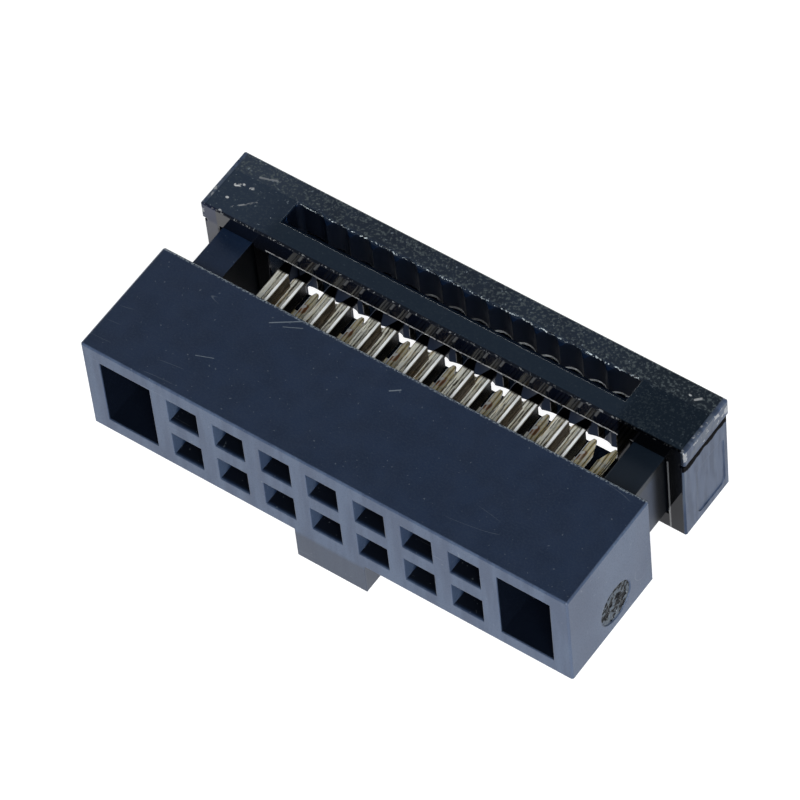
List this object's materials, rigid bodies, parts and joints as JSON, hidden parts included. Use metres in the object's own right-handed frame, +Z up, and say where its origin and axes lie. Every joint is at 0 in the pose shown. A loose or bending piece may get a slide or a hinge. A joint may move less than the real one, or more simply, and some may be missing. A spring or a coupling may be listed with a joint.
{
  "type": "idc ribbon cable socket",
  "caption": "Two-row ribbon cable socket with a keyed black housing, gold-plated fork contacts and a raised press-on cover.",
  "frame": {"origin": "centre of the mating face, on the axis of the pin field", "axes": "+X along the rows of pins, +Y back from the mating face to the cover, +Z up, away from the key"},
  "size_m": [0.0262, 0.0126, 0.0081],
  "materials": {
    "housing_plastic": "satin blue-black moulding",
    "cover_plastic": "glossier blue-black moulding",
    "contact_metal": "bright plated strip"
  },
  "bodies": {
    "socket_body": {"housing": "housing_plastic", "contact_upper_1": "contact_metal", "contact_upper_2": "contact_metal", "contact_upper_3": "contact_metal", "contact_upper_4": "contact_metal", "contact_upper_5": "contact_metal", "contact_upper_6": "contact_metal", "contact_upper_7": "contact_metal", "contact_lower_1": "contact_metal", "contact_lower_2": "contact_metal", "contact_lower_3": "contact_metal", "contact_lower_4": "contact_metal", "contact_lower_5": "contact_metal", "contact_lower_6": "contact_metal", "contact_lower_7": "contact_metal"},
    "cover": {"cover": "cover_plastic"}
  },
  "joints": [
    {"name": "cover_press", "type": "slide", "parent": "socket_body", "child": "cover", "axis": [0, -1, 0], "range_m": [0, 0.0018]}
  ]
}
